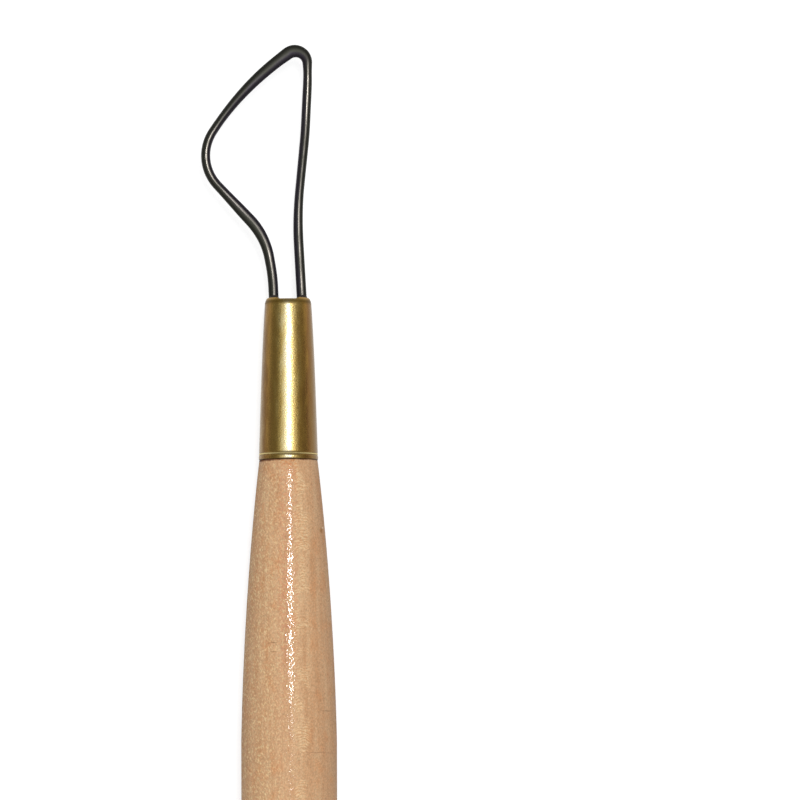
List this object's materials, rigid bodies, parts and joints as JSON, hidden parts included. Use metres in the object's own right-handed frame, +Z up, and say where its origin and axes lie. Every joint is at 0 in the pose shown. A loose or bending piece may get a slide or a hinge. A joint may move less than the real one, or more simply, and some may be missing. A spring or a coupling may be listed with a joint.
{
  "type": "pottery wire tool",
  "caption": "Turned hardwood handle with a tapered brass ferrule and a bent steel wire loop at each end, for trimming and hollowing clay.",
  "frame": {"origin": "middle of the flat under the handle's belly, on which the tool lies", "axes": "+Z up, +Y along the handle towards the heavy loop, +X across; both loops lie level"},
  "size_m": [0.0198, 0.2033, 0.0136],
  "materials": {
    "lacquered_hardwood": "clear lacquer over pale straight-grained hardwood",
    "satin_brass": "drawn, satin, lightly mottled",
    "blackened_steel_wire": "oil blackened, smooth",
    "bright_steel_wire": "drawn, dull grey",
    "soft_solder": "dull dark grey filling metal"
  },
  "bodies": {
    "root": {"wood_handle": "lacquered_hardwood", "heavy_ferrule": "satin_brass", "fine_ferrule": "satin_brass", "heavy_wire_loop": "blackened_steel_wire", "fine_wire_loop": "bright_steel_wire", "heavy_solder_filling": "soft_solder", "fine_solder_filling": "soft_solder"}
  },
  "joints": []
}
